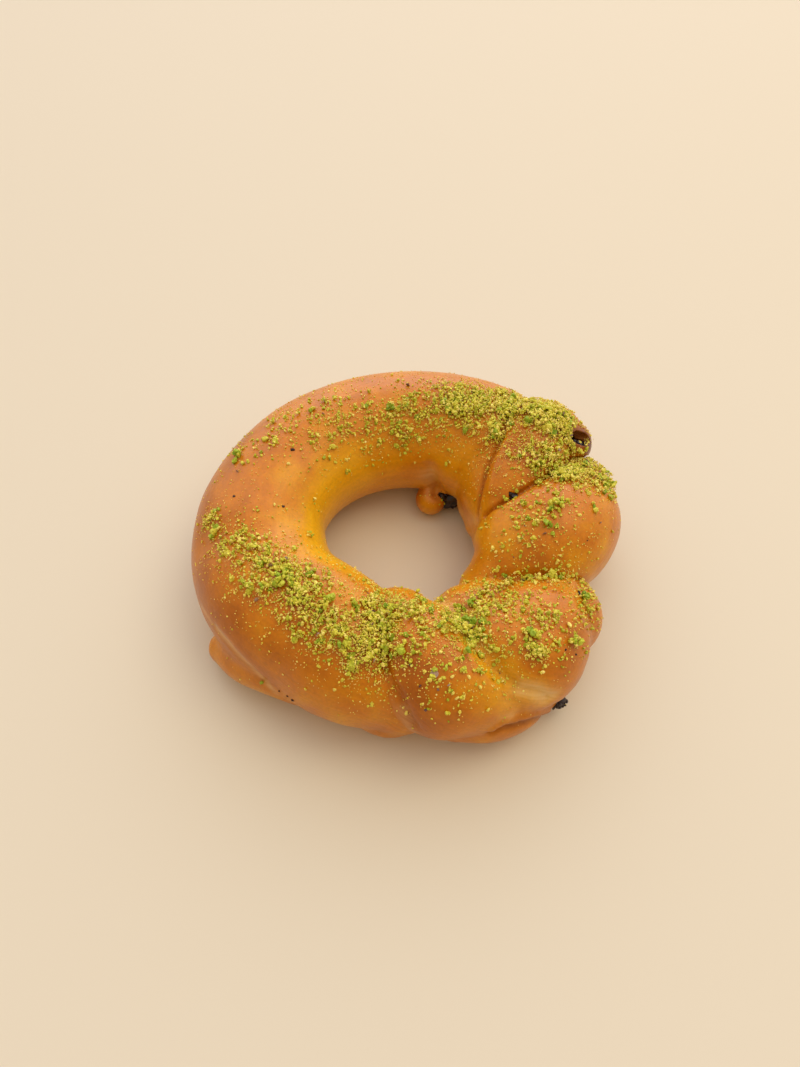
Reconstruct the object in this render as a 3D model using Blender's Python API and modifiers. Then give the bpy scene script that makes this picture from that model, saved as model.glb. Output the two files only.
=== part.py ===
"""A filled bread ring (acma roll): a thick rope of soft dough, twisted along one side and closed into a ring
with its ends lapped over each other, a dark filling that runs through it, and ground pistachio on top.

Metres, +Z up. The origin is at the middle of the ring, on the surface that it rests on. +X points to the
twisted side, and the loose end that is wrapped over the rope lies at about 35 degrees from +X.
"""

import math
import random

import bpy
import numpy as np
from mathutils import Vector, noise
from mathutils.bvhtree import BVHTree

MM = 0.001

# Driving dimensions, in mm: every strand's stations are given from these.
RING_REACH = 47.0  # from the ring's axis to the middle of the rope
REST_HEIGHT = 17.5  # height of the middle of the rope
CENTRE = (1.3, -2.15)  # where the ring's axis lies, so that the whole stands centred on the origin

CORE_RADIUS = 2.6  # the filling inside the rope
GAP = 0.35  # between the filling and the dough
STRAND_STEP = 3.0  # between the sections of a strand
CORE_STEP = 7.0  # between the sections of the filling's core
HOLLOW_STEP = 1.5  # between the points of a pressed hollow's line

DOUGH_VOXEL = 1.1  # the grid on which the strands grow together
DOUGH_ROUNDS = 6  # how often the grown dough is smoothed
DOUGH_TRIANGLES = 4400

CRUMB_COUNT = 130
CRUMB_SIZES = (0.75, 1.15)  # half the size of the smallest and the largest crumb
CRUMB_RISE = 0.3  # how far a crumb's middle stands above the crust
CRUMB_GAP = 2.6  # least distance between two crumbs' middles
CLEAR_OF_FILLING = 2.8  # least distance from a crumb's middle to the filling
GENTLE_SLOPE = 0.45  # least upward share of the crust's normal where a crumb stays
SEED = 11

# Each strand of dough: how flat its section is, then its stations as (bearing from +X in degrees,
# mm outside the middle of the rope, mm above the middle of the rope, radius in mm).
STRANDS = {
    "long_arc": (
        0.97,
        [
            (10, -14.5, -5.5, 12.0),
            (28, -9.5, -2.0, 16.5),
            (49, 0.0, 0.5, 20.5),
            (72, 0.5, 0.5, 21.0),
            (97, 0.0, 0.5, 20.5),
            (122, 1.2, 0.5, 20.5),
            (145, 2.3, 0.5, 20.5),
            (167, 3.0, 0.5, 20.7),
            (188, 1.5, 0.5, 21.7),
            (207, -1.5, 0.5, 22.5),
            (228, -6.5, 0.5, 22.0),
            (241, -5.5, 0.0, 21.3),
            (253, -4.0, -1.5, 19.2),
            (265, -2.0, -4.5, 15.5),
        ],
    ),
    "front_lobe": (
        1.0,
        [
            (261, -14.0, 2.0, 14.3),
            (269, -9.5, 2.0, 17.3),
            (276, -4.5, 1.5, 18.7),
            (283, -0.5, 1.0, 18.6),
            (290, 3.0, -0.5, 16.0),
            (299, 9.0, -7.0, 10.5),
        ],
    ),
    "inner_side": (
        1.0,
        [
            (303, -13.0, 0.0, 13.5),
            (314, -10.5, -1.0, 13.8),
            (323, -7.0, -2.5, 13.0),
        ],
    ),
    "near_right_lobe": (
        0.97,
        [
            (299, -13.0, 1.0, 13.5),
            (304, -4.0, 2.0, 16.7),
            (311, 1.5, 1.0, 18.6),
            (320, 1.5, 0.3, 17.8),
            (327, 2.0, -1.5, 16.0),
            (330, 3.5, -3.5, 13.5),
        ],
    ),
    "right_lobe": (
        0.96,
        [
            (331, -17.5, -5.0, 11.5),
            (342, -14.5, -2.0, 14.2),
            (355, -10.5, 1.0, 18.3),
            (4, -2.5, 1.5, 20.2),
            (12, 4.0, 0.5, 19.0),
            (19, 8.5, -0.5, 15.4),
        ],
    ),
    "wrapped_end": (
        0.9,
        [
            (9, -20.0, -2.0, 5.5),
            (17, -16.5, 6.0, 7.8),
            (26, -10.0, 10.0, 10.6),
            (34, -1.5, 11.5, 12.3),
            (40, 6.5, 12.3, 13.0),
            (37, 12.0, 11.5, 11.0),
            (33, 14.5, 10.5, 8.5),
        ],
    ),
    "tucked_tip": (
        1.0,
        [
            (71, -9.0, -8.0, 6.5),
            (73, -14.5, -10.5, 5.9),
            (75, -20.0, -12.3, 5.3),
        ],
    ),
    "tail": (
        0.9,
        [
            (208, 19.5, -12.0, 5.0),
            (214, 15.5, -11.0, 7.0),
            (222, 10.0, -10.0, 8.5),
            (236, 1.5, -9.0, 11.0),
        ],
    ),
    "front_underfold": (
        1.0,
        [
            (284, 7.0, -7.5, 9.5),
            (293, 9.0, -7.0, 10.5),
            (302, 11.0, -8.5, 9.0),
            (311, 13.5, -11.0, 5.5),
        ],
    ),
    "heel": (
        0.95,
        [
            (251, 2.0, -9.5, 9.0),
            (262, 4.0, -9.5, 9.5),
            (270, 2.0, -9.5, 8.0),
        ],
    ),
}

# The filling's way through the rope, from the open end, round the ring, to the tucked tip: the same
# bearings and distances.
FILLING_ROUTE = [
    (33, 13.0, 13.8),
    (36, 5.0, 12.0),
    (33, -4.0, 8.0),
    (17, -10.0, 4.0),
    (0, -4.0, 1.0),
    (343, -1.5, 0.0),
    (327, 2.0, -2.0),
    (315, 9.0, -6.5),
    (304, 7.0, -4.5),
    (290, 0.0, 0.0),
    (270, -3.0, 0.0),
    (245, -5.0, 0.0),
    (220, -2.0, 0.0),
    (190, 1.0, 0.0),
    (160, 3.0, 0.0),
    (130, 2.0, 0.0),
    (100, 0.0, 0.0),
    (75, 0.0, 0.0),
    (52, -4.0, -1.0),
    (50, -11.0, -4.5),
    (56, -15.0, -9.0),
    (62, -18.0, -12.0),
]

# Where the filling comes out, as (bearing, mm outside, mm above, half sizes along X, Y and Z).
FILLING_BLOBS = {
    "at_open_end": ((32, 14.5, 14.2), (4.0, 3.6, 1.8)),
    "at_seam": ((18, -13.5, 15.5), (2.6, 2.4, 3.4)),
    "at_seam_root": ((20, -12.5, 9.5), (3.0, 3.0, 5.5)),
    "at_front_corner": ((312, 17.5, -11.5), (4.0, 3.4, 3.2)),
    "at_front_root": ((313, 12.0, -8.0), (3.6, 3.6, 4.2)),
    "at_tucked_tip": ((63, -18.6, -12.6), (3.5, 3.5, 3.4)),
}

# The open mouth cut into the wrapped end, round the filling.
MOUTH = ((30, 16.0, 16.6), (4.8, 4.6, 2.8))

# Long shallow hollows in the dough: a line of stations, the depth and the width in mm.
HOLLOWS = [
    ([(186, 17.0, 15.0), (190, 3.0, 21.0), (180, -10.5, 17.0)], 1.1, 6.5),
    ([(78, -18.0, 8.0), (75, -19.5, 2.0), (71, -20.0, -6.0)], 2.4, 3.0),
    ([(255, -12.7, 16.8), (261, -2.7, 16.6), (266, 8.3, 12.0), (270, 14.3, 2.0)], 1.6, 2.8),
    ([(290, -16.2, 13.1), (293, 0.0, 17.5), (298, 10.8, 12.1), (306, 18.1, 6.7)], 1.6, 3.2),
    ([(321, -18.9, 9.5), (330, -13.3, 9.7), (336, -5.1, 11.0), (341, 3.7, 7.0), (347, 10.9, 0.8)], 1.8, 3.0),
    ([(28, -20.2, 13.0), (37, -16.2, 14.7), (45, -7.7, 18.2), (46, 0.4, 22.0)], 2.0, 2.0),
    ([(15, -17.1, 15.1), (17, -14.6, 16.8), (19, -10.6, 18.5), (21, -1.0, 18.4)], 1.4, 2.2),
]

# Where the ground pistachio lies, as (bearing, mm outside, radius, share of the crumbs).
SPRINKLED = [
    (68, 0.0, 15.0, 20),
    (90, -4.0, 22.0, 8),
    (50, 5.0, 8.0, 10),
    (38, 6.0, 9.0, 24),
    (22, 4.0, 11.0, 22),
    (15, 14.0, 9.0, 8),
    (127, -1.0, 22.0, 6),
    (190, 5.0, 16.0, 8),
    (219, -5.0, 14.0, 24),
    (235, -4.0, 10.0, 16),
    (250, -9.0, 9.0, 16),
    (266, -12.0, 9.0, 8),
    (284, -10.0, 12.0, 16),
    (312, -3.0, 14.0, 14),
    (335, -3.0, 12.0, 8),
    (357, -8.0, 18.0, 6),
]


def place(bearing, out, up):
    """The point, in mm, at a bearing from +X, so far outside and above the middle of the rope."""
    turn = math.radians(bearing)
    reach = RING_REACH + out
    x = CENTRE[0] + reach * math.cos(turn)
    y = CENTRE[1] + reach * math.sin(turn)
    return Vector((x, y, REST_HEIGHT + up))


def clear_scene():
    for found in list(bpy.data.objects):
        bpy.data.objects.remove(found, do_unlink=True)


def new_collection(name):
    made = bpy.data.collections.new(name)
    bpy.context.scene.collection.children.link(made)
    return made


def finish(name, colour, roughness):
    """A plain material of that colour."""
    made = bpy.data.materials.new(name)
    made.use_nodes = True
    shader = made.node_tree.nodes["Principled BSDF"]
    shader.inputs["Base Color"].default_value = (*colour, 1.0)
    shader.inputs["Roughness"].default_value = roughness
    shader.inputs["Metallic"].default_value = 0.0
    return made


def through(stations, step):
    """Points about one step apart on a smooth curve through the stations (a Catmull-Rom spline)."""
    rows = [np.array(station, float) for station in stations]
    made = []
    for i in range(len(rows) - 1):
        before, start = rows[max(i - 1, 0)], rows[i]
        end, after = rows[i + 1], rows[min(i + 2, len(rows) - 1)]
        count = max(1, round(np.linalg.norm((end - start)[:3]) / step))
        for k in range(count):
            t = k / count
            made.append(
                start
                + 0.5 * t * (end - before)
                + t**2 * (before - 2.5 * start + 2 * end - 0.5 * after)
                + t**3 * (1.5 * start - 0.5 * before - 1.5 * end + 0.5 * after)
            )
    return made + [rows[-1]]


def rounded_ends(rows):
    """The same rows (x, y, z, radius) with a half ball added at each end."""
    caps = []
    for tip, inner in ((rows[0], rows[1]), (rows[-1], rows[-2])):
        away = (tip - inner)[:3]
        away /= np.linalg.norm(away)
        turns = [math.radians(a) for a in (20, 40, 58, 72, 82)]
        caps.append(
            [np.append(tip[:3] + away * tip[3] * math.sin(a), tip[3] * math.cos(a)) for a in turns]
        )
    return caps[0][::-1] + rows + caps[1]


def tube(name, rows, flatness, resolution):
    """A closed tube along rows of (x, y, z, radius) in mm, its section flattened, as a mesh object."""
    curve = bpy.data.curves.new(name, "CURVE")
    curve.dimensions = "3D"
    curve.bevel_depth = MM
    curve.bevel_resolution = resolution
    curve.use_fill_caps = True
    spline = curve.splines.new("POLY")
    spline.points.add(len(rows) - 1)
    for point, (x, y, z, radius) in zip(spline.points, rows):
        point.co = (x * MM, y * MM, z * MM / flatness, 1.0)
        point.radius = radius
    guide = bpy.data.objects.new(name + "_guide", curve)
    guide.scale = (1.0, 1.0, flatness)
    bpy.context.scene.collection.objects.link(guide)
    bpy.context.view_layer.update()
    mesh = bpy.data.meshes.new_from_object(guide.evaluated_get(bpy.context.evaluated_depsgraph_get()))
    mesh.transform(guide.matrix_world)
    bpy.data.objects.remove(guide, do_unlink=True)
    made = bpy.data.objects.new(name, mesh)
    bpy.context.scene.collection.objects.link(made)
    apply_modifier(made, "WELD", merge_threshold=0.01 * MM)
    return made


def ball(name, centre, half_sizes, subdivisions, roughness, seed):
    """A closed ball of the given half sizes in mm, its surface uneven by a share of its size."""
    bpy.ops.mesh.primitive_ico_sphere_add(subdivisions=subdivisions, radius=1.0)
    made = bpy.context.active_object
    made.name = name
    for vertex in made.data.vertices:
        bump = 1.0 + roughness * noise.noise(vertex.co * 1.7 + Vector((seed, 0.0, 0.0)))
        vertex.co = Vector((c + v * h * bump for c, v, h in zip(centre, vertex.co, half_sizes))) * MM
    return made


def apply_modifier(obj, kind, **settings):
    """Adds one modifier with these settings and bakes it into the object's mesh."""
    modifier = obj.modifiers.new(kind.lower(), kind)
    for name, value in settings.items():
        setattr(modifier, name, value)
    bpy.context.view_layer.update()
    mesh = bpy.data.meshes.new_from_object(obj.evaluated_get(bpy.context.evaluated_depsgraph_get()))
    old = obj.data
    obj.modifiers.clear()
    obj.data = mesh
    bpy.data.meshes.remove(old)


def join(name, objects):
    """One object that holds all these meshes, still overlapping."""
    with bpy.context.temp_override(
        active_object=objects[0], selected_objects=objects, selected_editable_objects=objects
    ):
        bpy.ops.object.join()
    objects[0].name = name
    return objects[0]


def unite(obj, others, name):
    """Joins the other objects to this one by one Boolean union, and removes them."""
    group = new_collection(name)
    for other in others:
        for owner in list(other.users_collection):
            owner.objects.unlink(other)
        group.objects.link(other)
    settings = {"operand_type": "COLLECTION", "collection": group, "solver": "EXACT"}
    apply_modifier(obj, "BOOLEAN", operation="UNION", **settings)
    for other in list(group.objects):
        bpy.data.objects.remove(other, do_unlink=True)
    bpy.data.collections.remove(group)


def cut(obj, cutter):
    """Cuts one solid from the object, and removes the cutter."""
    apply_modifier(obj, "BOOLEAN", operation="DIFFERENCE", object=cutter, solver="EXACT")
    bpy.data.objects.remove(cutter, do_unlink=True)


def triangles(obj):
    obj.data.calc_loop_triangles()
    return len(obj.data.loop_triangles)


def press(obj, line, depth, width):
    """Presses a long shallow hollow into the surface along a line of stations."""
    rows = [(*place(*station), 0.0) for station in line]
    points = np.array(through(rows, HOLLOW_STEP))[:, :3] * MM
    places = np.empty(len(obj.data.vertices) * 3)
    normals = np.empty(len(obj.data.vertices) * 3)
    obj.data.vertices.foreach_get("co", places)
    obj.data.vertices.foreach_get("normal", normals)
    places, normals = places.reshape(-1, 3), normals.reshape(-1, 3)
    nearest = np.min([np.linalg.norm(places - point, axis=1) for point in points], axis=0)
    push = depth * MM * np.exp(-((nearest / (width * MM)) ** 2))
    obj.data.vertices.foreach_set("co", (places - normals * push[:, None]).ravel())
    obj.data.update()


def dough():
    """All strands of dough grown together, smoothed, creased and thinned to few triangles."""
    tubes = []
    for name, (flatness, stations) in STRANDS.items():
        rows = [np.array((*place(*station[:3]), station[3])) for station in stations]
        tubes.append(tube(name, rounded_ends(through(rows, STRAND_STEP)), flatness, 8))
    made = join("bread", tubes)
    apply_modifier(made, "REMESH", mode="VOXEL", voxel_size=DOUGH_VOXEL * MM)
    apply_modifier(made, "SMOOTH", factor=0.5, iterations=DOUGH_ROUNDS)
    for line, depth, width in HOLLOWS:
        press(made, line, depth, width)
    apply_modifier(made, "TRIANGULATE")
    apply_modifier(made, "DECIMATE", ratio=DOUGH_TRIANGLES / triangles(made))
    return made


def resting_surface():
    """A block under the bread that cuts its flat underside."""
    size = 0.2
    bpy.ops.mesh.primitive_cube_add(size=size, location=(0.0, 0.0, -size / 2))
    return bpy.context.active_object


def filling(name, grown):
    """The filling's core and the places where it comes out, all grown outwards by some mm."""
    rows = [np.array((*place(*station), CORE_RADIUS + grown)) for station in FILLING_ROUTE]
    core = tube(name, rounded_ends(through(rows, CORE_STEP)), 1.0, 2)
    balls = []
    for seed, (where, (station, half_sizes)) in enumerate(FILLING_BLOBS.items()):
        sizes = [half + grown for half in half_sizes]
        balls.append(ball(f"{name}_{where}", place(*station), sizes, 2, 0.25, 7.3 * seed))
    unite(core, balls, name + "_balls")
    return core


def sprinkle_point(draw):
    """A place to drop a crumb, in mm, drawn from the sprinkled patches by their shares."""
    bearing, out, radius, _ = draw.choices(SPRINKLED, [patch[3] for patch in SPRINKLED])[0]
    centre = place(bearing, out, 0.0)
    return centre.x + draw.gauss(0.0, radius * 0.55), centre.y + draw.gauss(0.0, radius * 0.55)


def crumbs(bread, inner):
    """The largest crumbs of pistachio, dropped straight down on the bread and sunk a little into it."""
    draw = random.Random(SEED)
    crust = BVHTree.FromObject(bread, bpy.context.evaluated_depsgraph_get())
    dark = BVHTree.FromObject(inner, bpy.context.evaluated_depsgraph_get())
    above = 0.2
    made, places = [], []
    while len(made) < CRUMB_COUNT:
        x, y = sprinkle_point(draw)
        hit, normal, _, _ = crust.ray_cast(Vector((x * MM, y * MM, above)), Vector((0.0, 0.0, -1.0)))
        if hit is None or normal.z < GENTLE_SLOPE:
            continue
        if any((hit - other).length < CRUMB_GAP * MM for other in places):
            continue
        if dark.find_nearest(hit)[3] < CLEAR_OF_FILLING * MM:
            continue
        size = draw.uniform(*CRUMB_SIZES)
        half_sizes = (size * draw.uniform(0.9, 1.35), size, size * draw.uniform(0.7, 1.0))
        middle = hit / MM + normal * CRUMB_RISE
        made.append(ball(f"crumb_{len(made)}", middle, half_sizes, 1, 0.5, draw.uniform(0.0, 90.0)))
        places.append(hit)
    return made


def main():
    clear_scene()
    parts = new_collection("acma_roll")
    bread = dough()
    cut(bread, resting_surface())
    inner = filling("filling", 0.0)
    cut(bread, filling("filling_room", GAP))
    (station, half_sizes) = MOUTH
    cut(bread, ball("mouth_room", place(*station), half_sizes, 2, 0.0, 0.0))
    unite(bread, crumbs(bread, inner), "crumbs")
    bread.data.materials.clear()
    bread.data.materials.append(finish("baked_crust", (0.50, 0.20, 0.045), 0.45))
    inner.data.materials.clear()
    inner.data.materials.append(finish("dark_filling", (0.02, 0.012, 0.010), 0.4))
    for obj in (bread, inner):
        for owner in list(obj.users_collection):
            owner.objects.unlink(obj)
        parts.objects.link(obj)
        obj.data.shade_smooth()


main()
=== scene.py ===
"""The looks of a filled bread ring (acma roll): egg-washed dough, dark paste that runs through it, and ground
pistachio on top, in a plain pale studio.

Lengths are in millimetres where a name says nothing else, and each finished mesh is in metres.
"""

import logging
import math
import random
from collections.abc import Iterable, Sequence
from dataclasses import dataclass, field
from enum import Enum
from typing import Any

import bmesh
import bpy
import numpy as np
from mathutils import Euler, Matrix, Vector, noise
from mathutils.bvhtree import BVHTree
from mathutils.kdtree import KDTree


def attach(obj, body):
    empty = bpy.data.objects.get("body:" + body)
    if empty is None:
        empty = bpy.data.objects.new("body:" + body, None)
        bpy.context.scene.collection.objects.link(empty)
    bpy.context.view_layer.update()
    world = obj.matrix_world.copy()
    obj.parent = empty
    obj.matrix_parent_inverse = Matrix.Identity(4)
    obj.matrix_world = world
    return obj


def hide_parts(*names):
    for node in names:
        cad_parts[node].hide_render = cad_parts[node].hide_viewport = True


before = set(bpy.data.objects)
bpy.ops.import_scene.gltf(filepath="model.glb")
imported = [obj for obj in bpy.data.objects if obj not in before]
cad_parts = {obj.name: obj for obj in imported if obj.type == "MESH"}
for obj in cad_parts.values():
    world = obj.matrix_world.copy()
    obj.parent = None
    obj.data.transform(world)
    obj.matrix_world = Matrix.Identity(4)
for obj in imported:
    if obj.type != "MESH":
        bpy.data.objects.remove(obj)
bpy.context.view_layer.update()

LOG = logging.getLogger("acma_roll")
MM = 0.001
BODY = "root"
DOUGH_NODE = "bread"
PASTE_NODE = "filling"

# A place as Ring.place takes it: its bearing in degrees, and how far out and up it lies in millimetres. A
# strand's station ends with the radius there.
Station = tuple[float, float, float]
StrandStation = tuple[float, float, float, float]


# ---------------------------------------------------------------- small tools


def linear(code: str) -> tuple[float, float, float, float]:
    """Turns a colour such as "#c9791f" from sRGB to the linear values that a shader takes.

    Args:
        code: the sRGB colour as a hash sign and six hex digits.

    Returns:
        The linear red, green and blue, with an alpha of one.
    """
    parts = [int(code[i : i + 2], 16) / 255 for i in (1, 3, 5)]
    red, green, blue = (p / 12.92 if p <= 0.04045 else ((p + 0.055) / 1.055) ** 2.4 for p in parts)
    return red, green, blue, 1.0


def add_node(
    tree: bpy.types.NodeTree,
    kind: str,
    settings: dict[Any, Any] | None = None,
    links: dict[Any, bpy.types.NodeSocket] | None = None,
) -> bpy.types.Node:
    """Adds a node, sets its properties and inputs, and links its inputs.

    Args:
        tree: the node tree to add it to.
        kind: the node's type name.
        settings: a property's or an input's name, or an input's number, and its value.
        links: an input's name or number, and the output that feeds it.

    Returns:
        The new node.
    """
    node = tree.nodes.new(kind)
    for name, value in (settings or {}).items():
        if isinstance(name, int) or name in node.inputs:
            node.inputs[name].default_value = value
        else:
            setattr(node, name, value)
    for name, source in (links or {}).items():
        tree.links.new(source, node.inputs[name])
    return node


def smooth_rows(stations: Sequence[Sequence[float]], step: float) -> np.ndarray:
    """Points about one step apart on a Catmull-Rom curve through the stations.

    Args:
        stations: rows that start with x, y and z, and may go on with a radius.
        step: the distance between points.

    Returns:
        The points, one row each, with as many columns as the stations have.
    """
    rows = np.array(stations, float)
    made = []
    for i in range(len(rows) - 1):
        before, start = rows[max(i - 1, 0)], rows[i]
        end, after = rows[i + 1], rows[min(i + 2, len(rows) - 1)]
        count = max(1, round(float(np.linalg.norm((end - start)[:3])) / step))
        for k in range(count):
            t = k / count
            bend = before - 2.5 * start + 2 * end - 0.5 * after
            turn = 1.5 * start - 0.5 * before - 1.5 * end + 0.5 * after
            made.append(start + 0.5 * t * (end - before) + t**2 * bend + t**3 * turn)
    return np.array(made + [rows[-1]])


def new_piece(name: str, mesh: bpy.types.Mesh) -> bpy.types.Object:
    """Puts a mesh in the scene as an object at the origin."""
    piece = bpy.data.objects.new(name, mesh)
    bpy.context.scene.collection.objects.link(piece)
    return piece


def piece_from(name: str, shape: bmesh.types.BMesh) -> bpy.types.Object:
    """Turns a bmesh in millimetres into an object in metres, and frees the bmesh."""
    bmesh.ops.recalc_face_normals(shape, faces=shape.faces)
    mesh = bpy.data.meshes.new(name)
    shape.to_mesh(mesh)
    shape.free()
    mesh.transform(Matrix.Scale(MM, 4))
    return new_piece(name, mesh)


def add_form(whole: bmesh.types.BMesh, part: bmesh.types.BMesh) -> None:
    """Adds a form to another as it lies, and frees it."""
    mesh = bpy.data.meshes.new("part")
    part.to_mesh(mesh)
    part.free()
    whole.from_mesh(mesh)
    bpy.data.meshes.remove(mesh)


def apply_modifier(piece: bpy.types.Object, kind: str, **settings: Any) -> None:
    """Adds one modifier with these settings and bakes it into the piece's mesh.

    Args:
        piece: the object to change.
        kind: the modifier's type name.
        settings: the modifier's properties.
    """
    modifier = piece.modifiers.new(kind.lower(), kind)
    for name, value in settings.items():
        setattr(modifier, name, value)
    bpy.context.view_layer.update()
    graph = bpy.context.evaluated_depsgraph_get()
    mesh = bpy.data.meshes.new_from_object(piece.evaluated_get(graph))
    old = piece.data
    piece.modifiers.clear()
    piece.data = mesh
    bpy.data.meshes.remove(old)


def combine(piece: bpy.types.Object, other: bpy.types.Object, operation: str) -> None:
    """Unites the other piece with this one, or cuts it from this one, and removes it."""
    apply_modifier(piece, "BOOLEAN", operation=operation, object=other, solver="MANIFOLD")
    bpy.data.objects.remove(other, do_unlink=True)


def vertex_places(mesh: bpy.types.Mesh) -> np.ndarray:
    """The mesh's vertices in millimetres, one row each."""
    places = np.empty(len(mesh.vertices) * 3)
    mesh.vertices.foreach_get("co", places)
    return places.reshape(-1, 3) / MM


def vertex_normals(mesh: bpy.types.Mesh) -> np.ndarray:
    """The mesh's vertex normals, one row each."""
    normals = np.empty(len(mesh.vertices) * 3)
    mesh.vertices.foreach_get("normal", normals)
    return normals.reshape(-1, 3)


def move_vertices(mesh: bpy.types.Mesh, places: np.ndarray) -> None:
    """Moves the mesh's vertices to these places in millimetres."""
    mesh.vertices.foreach_set("co", (places * MM).ravel())
    mesh.update()


def store(mesh: bpy.types.Mesh, name: str, values: np.ndarray) -> None:
    """Keeps one number for each vertex under this attribute name."""
    attribute = mesh.attributes.new(name, "FLOAT", "POINT")
    attribute.data.foreach_set("value", values.astype(np.float32))


def point_tree(points: Sequence[Sequence[float]]) -> KDTree:
    """A search tree of these points."""
    tree = KDTree(len(points))
    for i, point in enumerate(points):
        tree.insert(point, i)
    tree.balance()
    return tree


def distance_to(points: Sequence[Sequence[float]], places: np.ndarray) -> np.ndarray:
    """How far each place is from the nearest of the points.

    Args:
        points: the points to measure to.
        places: the places to measure from, one row each.

    Returns:
        One distance for each place.
    """
    tree = point_tree(points)
    return np.array([tree.find(place)[2] for place in places])


def bump_of(distance: np.ndarray, width: float) -> np.ndarray:
    """A round bump that is one at no distance and fades over the width."""
    return np.exp(-((distance / width) ** 2))


# ---------------------------------------------------------------- the ring


@dataclass(frozen=True)
class Ring:
    """Where the rope runs: every station is given from these three sizes."""

    reach: float = 47.0
    rest_height: float = 17.5
    centre: tuple[float, float] = (1.3, -2.15)

    def place(self, bearing: float, out: float, up: float) -> Vector:
        """The point at a bearing from +X, so far outside and above the middle of the rope.

        Args:
            bearing: degrees from +X, anticlockwise seen from above.
            out: how far outside the middle of the rope.
            up: how far above the middle of the rope.

        Returns:
            The point, in millimetres.
        """
        turn = math.radians(bearing)
        reach = self.reach + out
        x = self.centre[0] + reach * math.cos(turn)
        y = self.centre[1] + reach * math.sin(turn)
        return Vector((x, y, self.rest_height + up))

    def line(self, stations: Sequence[Station], step: float = 0.8) -> np.ndarray:
        """Points along a smooth line through these stations."""
        return smooth_rows([self.place(*station) for station in stations], step)


@dataclass(frozen=True)
class Strand:
    """One strand of dough: a tapering rope with round ends, whose section is a little flattened."""

    stations: tuple[StrandStation, ...]
    flatness: float = 1.0
    sides: int = 40
    step: float = 1.6
    cap_turns: tuple[int, ...] = (12, 24, 36, 48, 60, 71, 80, 86)

    def rows(self, ring: Ring) -> np.ndarray:
        """The strand's sections as rows of x, y, z and radius, with half a ball added at each end."""
        rows = smooth_rows([(*ring.place(*s[:3]), s[3]) for s in self.stations], self.step)
        rows[:, 2] /= self.flatness
        caps = []
        for tip, inner in ((rows[0], rows[1]), (rows[-1], rows[-2])):
            away = (tip - inner)[:3]
            away /= np.linalg.norm(away)
            turns = [math.radians(turn) for turn in self.cap_turns]
            ends = [(tip[:3] + away * tip[3] * math.sin(turn), tip[3] * math.cos(turn)) for turn in turns]
            caps.append([np.append(middle, radius) for middle, radius in ends])
        return np.array([*caps[0][::-1], *rows, *caps[1]])

    def shape(self, ring: Ring) -> bmesh.types.BMesh:
        """Lofts the sections into one closed form.

        Args:
            ring: where the rope runs.

        Returns:
            The form in millimetres.
        """
        rows = self.rows(ring)
        shape = bmesh.new()
        loops: list[list[bmesh.types.BMEdge]] = []
        for i, row in enumerate(rows):
            before, after = rows[max(i - 1, 0)][:3], rows[min(i + 1, len(rows) - 1)][:3]
            turn = Vector((0, 0, 1)).rotation_difference(Vector(after - before))
            stand = Matrix.Translation(row[:3]) @ turn.to_matrix().to_4x4()
            made = bmesh.ops.create_circle(shape, segments=self.sides, radius=row[3], matrix=stand)
            loops.append(list({edge for vertex in made["verts"] for edge in vertex.link_edges}))
            if i:
                bmesh.ops.bridge_loops(shape, edges=loops[-2] + loops[-1])
        for end in (loops[0], loops[-1]):
            bmesh.ops.edgeloop_fill(shape, edges=end)
        bmesh.ops.scale(shape, vec=(1, 1, self.flatness), verts=shape.verts)
        return shape


def union_by_voxels(
    name: str, shapes: Sequence[bmesh.types.BMesh], voxel: float, rounds: int
) -> bpy.types.Object:
    """Grows several overlapping closed forms together and smooths the result.

    Args:
        name: the new object's name.
        shapes: the forms in millimetres, which are freed.
        voxel: the size of the grid that they are rebuilt on.
        rounds: how many times the surface is smoothed.

    Returns:
        One closed object.
    """
    joined = bmesh.new()
    for shape in shapes:
        add_form(joined, shape)
    piece = piece_from(name, joined)
    apply_modifier(piece, "REMESH", mode="VOXEL", voxel_size=voxel * MM)
    if rounds:
        apply_modifier(piece, "SMOOTH", factor=0.5, iterations=rounds)
    return piece


def lump(
    centre: Sequence[float], half_sizes: Sequence[float], rough: float, seed: float, subdivisions: int = 3
) -> bmesh.types.BMesh:
    """An uneven ball.

    Args:
        centre: its middle.
        half_sizes: half its size along X, Y and Z.
        rough: how uneven it is, as a share of its size.
        seed: which unevenness it gets.
        subdivisions: how round it is, where one is as angular as a broken crumb.

    Returns:
        The closed form in millimetres.
    """
    shape = bmesh.new()
    bmesh.ops.create_icosphere(shape, subdivisions=subdivisions, radius=1.0)
    for vertex in shape.verts:
        vertex.co *= 1.0 + rough * noise.noise(vertex.co * 1.9 + Vector((seed, 0, 0)))
    bmesh.ops.scale(shape, vec=half_sizes, verts=shape.verts)
    bmesh.ops.translate(shape, vec=centre, verts=shape.verts)
    return shape


# ---------------------------------------------------------------- finishes


def new_material(name: str) -> tuple[bpy.types.Material, bpy.types.NodeTree, bpy.types.Node]:
    """Starts a material that is named for the real one.

    Args:
        name: the real material's name.

    Returns:
        The material, its node tree and its shader.
    """
    made = bpy.data.materials.new(name)
    made.use_nodes = True
    return made, made.node_tree, made.node_tree.nodes["Principled BSDF"]


def set_inputs(node: bpy.types.Node, values: dict[str, Any]) -> None:
    """Sets each of these inputs of the node to its value."""
    for name, value in values.items():
        node.inputs[name].default_value = value


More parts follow.
